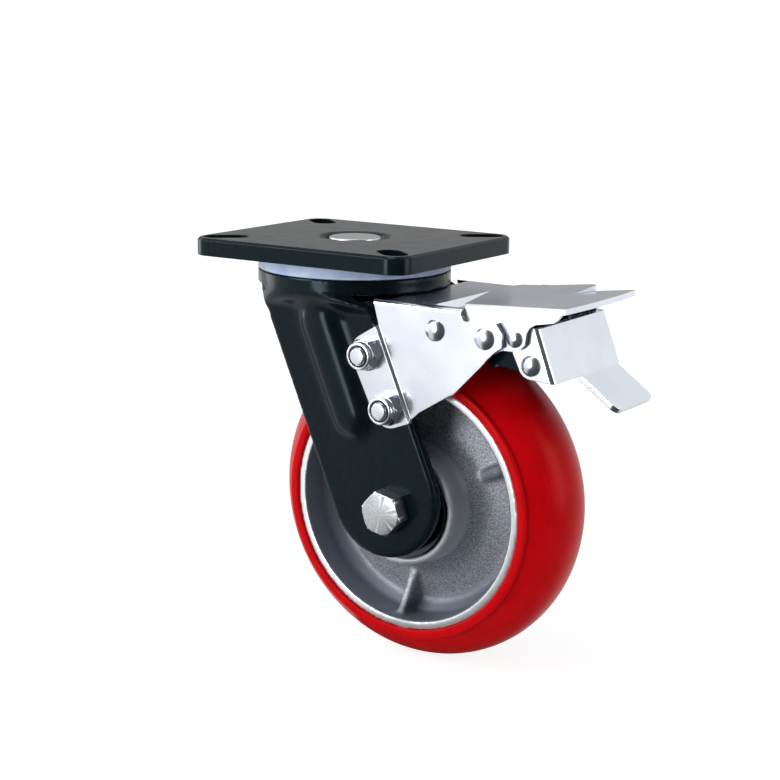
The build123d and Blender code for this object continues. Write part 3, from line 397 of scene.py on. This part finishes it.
# Tyre: a lip beside the rim, a fine crease, then one round tread with two faint mould lines
tyreSize = {"arcR": 26.0, "arcAt": 49.0, "lines": (-15.5, -20.0), "lineDepth": 0.12, "lineWidth": 0.35,
            "steps": 216}
tyreLip = [(58.05, 24.2), (58.2, 24.65), (58.7, 24.92), (59.6, 25.0), (60.9, 25.0), (61.7, 24.85), (62.15, 24.5),
           (62.25, 24.1), (62.1, 23.7), (61.75, 23.35), (61.6, 23.1), (61.75, 22.85)]
tread = []
for i in range(-44, 45):
    along = -tyreSize["arcR"] * math.sin(math.radians(i * 1.36))
    radius = tyreSize["arcAt"] + tyreSize["arcR"] * math.cos(math.radians(i * 1.36))
    for line in tyreSize["lines"]:
        radius -= tyreSize["lineDepth"] * math.exp(-((along - line) / tyreSize["lineWidth"]) ** 2)
    tread.append((radius, along))
tyreProfile = tyreLip + tread + [(r, -a) for r, a in reversed(tyreLip)]
shape = bmesh.new()
turn(shape, tyreProfile, axle, tyreSize["steps"])
addPiece("tyreCast", toMesh("tyreCast", shape), "wheel", "tyre", smooth=60)

# Wheel core: one sand casting, all its corners run soft except at the turned rim
coreSize = {"voxel": 0.95, "soft": 26, "ribs": (25, 145, 265), "ribSoft": 8, "ribReach": 4.5, "rimR": 52.8,
            "crisp": 1}


def coreSoft(x, y, z):
    u, v = x - axle[0], z - axle[1]
    rounds = np.full(len(x), coreSize["soft"])
    for rib in coreSize["ribs"]:
        c, s = math.cos(math.radians(rib)), math.sin(math.radians(rib))
        onRib = (abs(u * s - v * c) < coreSize["ribReach"]) & (u * c + v * s > 0)
        rounds = np.where(onRib, coreSize["ribSoft"], rounds)
    return np.where(np.hypot(u, v) < coreSize["rimR"], rounds, coreSize["crisp"])


coreMesh = evenCopy("wheelCasting", "wheel_core", coreSize["voxel"])
relax(coreMesh, coreSoft)
addPiece("wheelCasting", coreMesh, "wheel", "wheel_core", smooth=60)
print("wheel done", len(coreMesh.polygons))

# Fork: pressed from thick sheet, with soft bends at the shoulder and round the rib
forkSize = {"voxel": 0.95, "edge": 3, "legFrom": 27, "shoulder": 9, "shoulderZ": (-34, -18.5), "rib": 42,
            "ribFrom": (5.5, -33), "ribTo": (23.4, -75), "ribTop": -22, "ribReach": 14}
reliefFills = [(-24.6, -22.2, 2.5, side * 30.6, side * 36.3) for side in (-1, 1)]


def forkSoft(x, y, z):
    rounds = np.full(len(x), forkSize["edge"])
    low, high = forkSize["shoulderZ"]
    onLeg = abs(y) > forkSize["legFrom"]
    rounds = np.where(onLeg & (z > low) & (z < high), forkSize["shoulder"], rounds)
    (x1, z1), (x2, z2) = forkSize["ribFrom"], forkSize["ribTo"]
    t = np.clip(((x - x1) * (x2 - x1) + (z - z1) * (z2 - z1)) / ((x2 - x1) ** 2 + (z2 - z1) ** 2), 0, 1)
    reach = np.hypot(x - x1 - t * (x2 - x1), z - z1 - t * (z2 - z1))
    onRib = onLeg & (z < forkSize["ribTop"]) & (reach < forkSize["ribReach"])
    return np.where(onRib, np.maximum(rounds, forkSize["rib"]), rounds)


forkMesh = evenCopy("forkPressing", "fork", forkSize["voxel"], reliefFills)
relax(forkMesh, forkSoft)
addPiece("forkPressing", forkMesh, "fork", "fork", smooth=70)
print("fork done", len(forkMesh.polygons))

# Plate and brake sheets: sheared and pressed edges. The step beside the bracket's flange is pressed sharp
joggle = {"from": (65.24, -99.08), "lean": 23.4, "at": 2.4, "cadWidth": 2.0, "width": 0.9, "lift": 2.2,
          "top": -24, "foot": -70}


def sharpJoggle(point):
    lean = math.radians(joggle["lean"])
    out = (point.x - joggle["from"][0]) * math.cos(lean) + (point.z - joggle["from"][1]) * math.sin(lean)
    if abs(out - joggle["at"]) < 0.05 and point.z < joggle["top"]:
        shift = joggle["width"] - joggle["cadWidth"]
        lift = joggle["lift"] if point.z < joggle["foot"] else 0
        return point + Vector((shift * math.cos(lean) - lift * math.sin(lean), 0,
                               shift * math.sin(lean) + lift * math.cos(lean)))
    return point


roundedSheet("platePressing", "top_plate", "plate", 0.7)
roundedSheet("bracketSheet", "brake_bracket", "fork", 0.4, sharpJoggle)
for name, node, body in (("pedalSheet", "pedal", "pedal"), ("leverSheet", "release_lever", "release_lever"),
                         ("armSheet", "brake_arm", "brake_arm")):
    roundedSheet(name, node, body, 0.45)
print("sheets done")

# Dust seal: a moulded ring with a rolled lip
shape = bmesh.new()
turn(shape, [(40.4, -14.0), (43.9, -14.0), (44.35, -13.6), (44.4, -12.9), (44.1, -12.3), (44.1, -9.2), (43.9, -8.6),
             (43.3, -8.3), (40.9, -8.3), (40.4, -8.8)], (0, 0), 160, upright=True)
addPiece("sealRing", toMesh("sealRing", shape), "fork", "dust_seal", smooth=50)

# Kingpin: forged head with a soft edge, flush in the plate's dish
shape = bmesh.new()
turn(shape, [(0, 0), (9.5, 0), (11.2, -0.08), (11.75, -0.35), (12.0, -0.9), (12.0, -4.2), (8.0, -4.2), (8.0, -40.3),
             (7.0, -41.3), (0, -41.3)], (0, 0), 96, upright=True)
addPiece("kingpinForging", toMesh("kingpinForging", shape), "plate", "kingpin")

# Rivets: round heads outside and flat ones inside, in (radius, distance from the middle plane)
pins = {"arm": (66.4, -31.6), "pedal": (90.7, -32.6), "link": (103.7, -31.7), "lever": (110.1, -42.8)}


def domeHead(radius, height, face):
    # a set rivet head: part of a ball over a small upright rim
    rim = 0.35
    ballR = (radius ** 2 + (height - rim) ** 2) / (2 * (height - rim))
    top = face + height
    points = []
    for i in range(13):
        r = radius * (1 - i / 12)
        points.append((r, top - ballR + math.sqrt(ballR ** 2 - r ** 2)))
    return [(radius, face)] + points


rivets = (
    ("armPin", "arm_pivot_pin", "fork", "arm", [(0, 0), (3.0, 0), (3.0, 37.0)] + domeHead(4.75, 2.3, 37.0)),
    ("pedalRivets", "pedal_rivets", "fork", "pedal",
     [(0, 30.3), (4.5, 30.3), (4.75, 30.6), (4.75, 31.5), (3.0, 31.5), (3.0, 37.0)] + domeHead(4.75, 2.3, 37.0)),
    ("linkRivets", "link_rivets", "pedal", "link", [(0, 28.9), (2.5, 28.9), (2.5, 34.2)] + domeHead(3.6, 1.9, 34.2)),
    ("leverRivets", "lever_rivets", "release_lever", "lever",
     [(0, 24.8), (4.2, 24.8), (4.45, 25.1), (4.45, 26.0), (2.5, 26.0), (2.5, 31.4)] + domeHead(4.45, 2.3, 31.4)),
)
for name, node, body, pin, profile in rivets:
    shape = bmesh.new()
    for side in (1, -1):
        turn(shape, profile, pins[pin], 48, side=side)
    addPiece(name, toMesh(name, shape), body, node, smooth=30)

# Bracket bolts and lock nuts: hexagon with turned corners, rolled collar, nylon insert, threaded end
nutSize = {"places": ((33.25, -45.3), (44.58, -68.2)), "across": 13.0, "face": 38.5, "turn": (30, 30)}
nutProfile = [(4.05, 0), (6.9, 0), (7.6, 0.45), (7.6, 4.9), (6.55, 5.6), (6.3, 5.65), (6.25, 7.0), (6.0, 7.6),
              (5.5, 7.95), (5.05, 8.0), (4.85, 7.8), (4.8, 7.2), (4.05, 7.2)]
nylonProfile = [(4.0, 7.2), (4.8, 7.2), (4.8, 7.65), (4.5, 7.75), (4.1, 7.7), (4.0, 7.5)]
pitch = 1.25  # of an M8 thread
thread = []
for k in range(5):
    start = 47.0 - pitch * (k + 1)
    thread += [(3.5, start), (4.0, start + 0.5), (4.0, start + 0.7), (3.5, start + 1.15)]
thread.sort(key=lambda point: point[1])
boltProfile = ([(0, 26.6), (5.9, 26.6), (6.5, 27.1), (6.5, 30.0), (4.0, 30.0), (4.0, 40.0)] + thread
               + [(3.7, 47.0), (3.2, 47.45), (2.9, 47.5), (0, 47.5)])
nutShape, boltShape, nylonShape = bmesh.new(), bmesh.new(), bmesh.new()
for side in (-1, 1):
    for place, twist in zip(nutSize["places"], nutSize["turn"]):
        turn(nutShape, [(r, a + nutSize["face"]) for r, a in nutProfile], place, 72, nutSize["across"], twist, side)
        turn(nylonShape, [(r, a + nutSize["face"]) for r, a in nylonProfile], place, 48, side=side)
        turn(boltShape, boltProfile, place, 48, side=side)
addPiece("bracketNuts", toMesh("bracketNuts", nutShape), "fork", "bracket_nuts", smooth=30)
addPiece("bracketBolts", toMesh("bracketBolts", boltShape), "fork", "bracket_bolts", smooth=30)
addPiece("nylonInserts", toMesh("nylonInserts", nylonShape), "fork", None, nylon, "black_coat", 30)

# Axle: forged hexagon bolt, washer and lock nut, with the sleeve, spacers and bearings round
headProfile = [(0, 44.0), (8.8, 44.0), (9.4, 43.85), (10.6, 43.2), (10.6, 36.4), (9.8, 36.0), (6.0, 36.0), (6.0, -50.0),
               (5.2, -51.0), (0, -51.0)]
axleNutProfile = [(6.05, 38.0), (9.9, 38.0), (10.5, 38.5), (10.5, 45.2), (9.0, 46.0), (8.6, 46.1), (8.5, 48.9),
                  (8.0, 49.7), (7.2, 50.0), (6.9, 49.6), (6.05, 49.3)]
axleAcross = 18.0
shape = bmesh.new()
turn(shape, headProfile, axle, 96, axleAcross, 18, -1)
addPiece("axleBolt", toMesh("axleBolt", shape), "fork", "axle_bolt", smooth=28)
shape = bmesh.new()
turn(shape, axleNutProfile, axle, 96, axleAcross, 30)
addPiece("axleNut", toMesh("axleNut", shape), "fork", "axle_nut", smooth=28)


def ringProfile(inner, outer, start, end, edge=0.3):
    # a turned ring's section with its outer corners broken
    return [(inner, start + edge), (inner + edge, start), (outer - edge, start), (outer, start + edge),
            (outer, end - edge), (outer - edge, end), (inner + edge, end), (inner, end - edge)]


turnedRings = (
    ("axleWasher", "axle_washer", "fork", [(6.2, 12.0, 36.0, 38.0)], 1),
    ("axleSleeve", "axle_sleeve", "fork", [(6.2, 10.0, -30.0, 30.0)], 1),
    ("hubWashers", "hub_washers", "fork", [(10.1, 14.2, 28.0, 30.0)], 2),
    ("bearingSpacer", "bearing_spacer", "fork", [(10.1, 13.0, -14.0, 14.0)], 1),
    ("innerRings", "bearing_inner_rings", "fork", [(10.05, 14.2, 14.0, 17.55), (10.05, 13.3, 17.55, 24.45),
                                                   (10.05, 14.2, 24.45, 28.0)], 2),
    ("outerRings", "bearing_outer_rings", "wheel", [(19.3, 23.5, 14.0, 17.55), (20.2, 23.5, 17.55, 24.45),
                                                    (19.3, 23.5, 24.45, 28.0)], 2),
    ("bearingShields", "bearing_shields", "wheel", [(14.5, 19.3, 27.2, 28.0)], 2),
    ("armSpacers", "arm_spacers", "fork", [(3.1, 4.6, 28.4, 34.4)], 2),
)
for name, node, body, rings, sides in turnedRings:
    shape = bmesh.new()
    centre = pins["arm"] if name == "armSpacers" else axle
    for inner, outer, start, end in rings:
        for side in (1, -1)[:sides]:
            turn(shape, ringProfile(inner, outer, start, end), centre, 72, side=side)
    # the bearing shields take the dark bearing steel in place of their slot's finish
    material = finishes["bearing_steel"] if name == "bearingShields" else None
    addPiece(name, toMesh(name, shape), body, node, material, smooth=40)

# Swivel bearing: lower race with its track, and round balls in place of the cut ones
shape = bmesh.new()
turn(shape, [(8.1, -31.0), (26.0, -31.0), (27.5, -29.6), (27.5, -25.9), (27.1, -25.4), (24.2, -25.4), (22.6, -26.9),
             (20.5, -27.4), (18.4, -26.9), (16.8, -25.4), (8.1, -25.4)], (0, 0), 120, upright=True)
addPiece("lowerRace", toMesh("lowerRace", shape), "plate", "lower_race", smooth=30)
# rows of balls: radius, row radius, number; each round ball reaches as far as the flats of the cut one
ballFlat = 0.9
ballRows = {"upperBalls": ("upper_balls", "upper_ball_row", 4.75, 33.5, 18),
            "lowerBalls": ("lower_balls", "lower_ball_row", 3.95, 20.5, 12),
            "wheelBalls": ("wheel_balls", "wheel_ball_row", 3.2, 16.75, 9)}
rowHeights = {"upperBalls": -11.0, "lowerBalls": -23.2}
wheelRows = (-21.0, 21.0)
for name, (node, body, radius, rowR, count) in ballRows.items():
    shape = bmesh.new()
    angles = [2 * math.pi * k / count for k in range(count)]
    around = [(rowR * math.cos(angle), rowR * math.sin(angle)) for angle in angles]
    if name in rowHeights:
        centres = [(u, v, rowHeights[name]) for u, v in around]
    else:
        centres = [(axle[0] + u, along, axle[1] + v) for along in wheelRows for u, v in around]
    for centre in centres:
        made = bmesh.ops.create_icosphere(shape, subdivisions=3, radius=ballFlat * radius * mm)
        bmesh.ops.translate(shape, verts=made["verts"], vec=Vector(centre) * mm)
    addPiece(name, toMesh(name, shape), body, node, smooth=60)
print("turned pieces done")

# Camera, fitted to the photograph
view = {"azimuth": -32.84, "elevation": 12.03, "roll": 0.76, "distance": 849.56, "aim": (0, 0, -100),
        "right": 17.29, "up": 27.12, "focal": 1807.24, "picture": 780, "sensor": 36}  # mm, degrees, and pixels
az, el, roll = (math.radians(view[k]) for k in ("azimuth", "elevation", "roll"))
forward = Vector((math.sin(az) * math.cos(el), math.cos(az) * math.cos(el), -math.sin(el)))
right = Vector((math.cos(az), -math.sin(az), 0))
upward = right.cross(forward)
camRight = right * math.cos(roll) + upward * math.sin(roll)
camUp = -right * math.sin(roll) + upward * math.cos(roll)
eye = Vector(view["aim"]) - forward * view["distance"] + camRight * view["right"] + camUp * view["up"]
cameraData = bpy.data.cameras.new("camera")
cameraData.lens = view["sensor"] * view["focal"] / view["picture"]
cameraData.sensor_width = view["sensor"]
cameraData.clip_start = 0.05
camera = bpy.data.objects.new("camera", cameraData)
turnCamera = Matrix((camRight, camUp, -forward)).transposed().to_4x4()
camera.matrix_world = Matrix.Translation(eye * mm) @ turnCamera
bpy.context.scene.collection.objects.link(camera)
bpy.context.scene.camera = camera
bpy.context.scene.view_settings.view_transform = "Standard"


def seenDirectly(tree):
    # 1 for what the camera sees, also in a reflection or through glass, and 0 for the light on the object;
    # the second output is 1 for what the camera sees straight
    rays = addNode(tree, "ShaderNodeLightPath").outputs
    first = addNode(tree, "ShaderNodeMath", {"operation": "MAXIMUM"},
                    {0: rays["Is Camera Ray"], 1: rays["Is Glossy Ray"]})
    second = addNode(tree, "ShaderNodeMath", {"operation": "MAXIMUM"},
                     {0: first.outputs[0], 1: rays["Is Transmission Ray"]})
    return second.outputs[0], rays["Is Camera Ray"]


# In reflections the white studio is open on one side, as behind the tripod, and has a grey panel behind the castor
opening = {"towards": (0.72, -0.69, 0), "from": 0.3, "to": 0.8, "dark": 0.08}
greyPanel = {"towards": (-0.54, 0.81, 0.23), "from": 0.78, "to": 0.94, "grey": 0.42}


def openSide(tree, place, straight):
    # 1 where the studio is white, less towards its open side, and always 1 for the camera itself
    level = addNode(tree, "ShaderNodeVectorMath", {"operation": "MULTIPLY", 1: (1, 1, 0)}, {0: place})
    unit = addNode(tree, "ShaderNodeVectorMath", {"operation": "NORMALIZE"}, {0: level.outputs[0]})
    facing = addNode(tree, "ShaderNodeVectorMath", {"operation": "DOT_PRODUCT", 1: opening["towards"]},
                     {0: unit.outputs[0]})
    shade = addNode(tree, "ShaderNodeMapRange", {"interpolation_type": "SMOOTHSTEP", "From Min": opening["from"],
                                                 "From Max": opening["to"], "To Min": 1.0, "To Max": opening["dark"]},
                    {"Value": facing.outputs["Value"]})
    return addNode(tree, "ShaderNodeMath", {"operation": "MAXIMUM"},
                   {0: shade.outputs["Result"], 1: straight}).outputs[0]


# White floor under the wheel: it glows for the camera, and a share of plain white keeps the shadow
floor = {"half": 6.0, "drop": 0.0004, "glow": 0.84, "glowFrom": 0.3, "glowTo": 0.9, "share": 0.3}  # metres
floorMesh = bpy.data.meshes.new("floor")
half, level = floor["half"], cadBox[0][2] - floor["drop"]
floorMesh.from_pydata([(-half, -half, level), (half, -half, level), (half, half, level), (-half, half, level)], [],
                      [(0, 1, 2, 3)])
floorObject = bpy.data.objects.new("floor", floorMesh)
bpy.context.scene.collection.objects.link(floorObject)
floorMaterial, tree, shader, coords = newMaterial("whitePaper", {"Base Color": srgb("#f4f4f4"), "Roughness": 0.9})
seen, straight = seenDirectly(tree)
reach = addNode(tree, "ShaderNodeVectorMath", {"operation": "LENGTH"}, {0: coords})
near = addNode(tree, "ShaderNodeMapRange", {"interpolation_type": "SMOOTHSTEP", "From Min": floor["glowFrom"],
                                            "From Max": floor["glowTo"], "To Min": floor["glow"], "To Max": 1.0},
               {"Value": reach.outputs["Value"]})
strength = addNode(tree, "ShaderNodeMath", {"operation": "MULTIPLY"},
                   {0: near.outputs["Result"], 1: openSide(tree, coords, straight)})
glow = addNode(tree, "ShaderNodeEmission", {"Color": (1, 1, 1, 1)}, {"Strength": strength.outputs[0]})
share = addNode(tree, "ShaderNodeMath", {"operation": "MULTIPLY", 1: floor["share"]}, {0: straight})
plain = addNode(tree, "ShaderNodeBsdfDiffuse", links={"Color": share.outputs[0]})
lit = addNode(tree, "ShaderNodeAddShader", links={0: glow.outputs[0], 1: plain.outputs[0]})
pick = addNode(tree, "ShaderNodeMixShader", links={0: seen, 1: shader.outputs[0], 2: lit.outputs[0]})
tree.links.new(pick.outputs[0], tree.nodes["Material Output"].inputs["Surface"])
floorMesh.materials.append(floorMaterial)

# Soft studio light: white all round for the camera, a plainer room for the light itself
studio = {"room": 0.36, "colour": "#e6ebf2"}
world = bpy.data.worlds.new("studio")
bpy.context.scene.world = world
world.use_nodes = True
tree = world.node_tree
tree.nodes.clear()
seen, straight = seenDirectly(tree)
direction = addNode(tree, "ShaderNodeTexCoord").outputs["Generated"]
facing = addNode(tree, "ShaderNodeVectorMath", {"operation": "DOT_PRODUCT", 1: greyPanel["towards"]}, {0: direction})
behind = addNode(tree, "ShaderNodeMapRange", {"interpolation_type": "SMOOTHSTEP", "From Min": greyPanel["from"],
                                              "From Max": greyPanel["to"], "To Min": 1.0, "To Max": greyPanel["grey"]},
                 {"Value": facing.outputs["Value"]})
backdrop = addNode(tree, "ShaderNodeMath", {"operation": "MAXIMUM"}, {0: behind.outputs["Result"], 1: straight})
strength = addNode(tree, "ShaderNodeMath", {"operation": "MULTIPLY"},
                   {0: backdrop.outputs[0], 1: openSide(tree, direction, straight)})
room = addNode(tree, "ShaderNodeBackground", {"Color": srgb(studio["colour"]), "Strength": studio["room"]})
white = addNode(tree, "ShaderNodeBackground", {"Color": (1, 1, 1, 1)}, {"Strength": strength.outputs[0]})
pick = addNode(tree, "ShaderNodeMixShader", links={0: seen, 1: room.outputs[0], 2: white.outputs[0]})
addNode(tree, "ShaderNodeOutputWorld", links={"Surface": pick.outputs[0]})


lampAim = (0.03, 0, -0.08)


def softbox(name, place, size, power):
    # a rectangular lamp aimed at the castor, sizes in metres, power in watts
    data = bpy.data.lights.new(name, "AREA")
    data.shape = "RECTANGLE"
    data.size, data.size_y = size
    data.energy = power
    lamp = bpy.data.objects.new(name, data)
    aimed = (Vector(lampAim) - Vector(place)).to_track_quat("-Z", "Y").to_matrix().to_4x4()
    lamp.matrix_world = Matrix.Translation(place) @ aimed
    bpy.context.scene.collection.objects.link(lamp)


softbox("frontStrip", (-0.12, -0.85, 0.05), (0.24, 0.5), 3.5)
softbox("keyPanel", (-0.55, -0.8, 0.55), (0.45, 0.45), 6)
softbox("leftPanel", (-0.85, -0.1, 0.1), (0.3, 0.6), 1.6)
softbox("rightPanel", (0.95, 0.15, 0.15), (0.35, 0.7), 3)
softbox("topPanel", (-0.1, -0.1, 1.1), (0.7, 0.5), 4)
print("camera and light done")
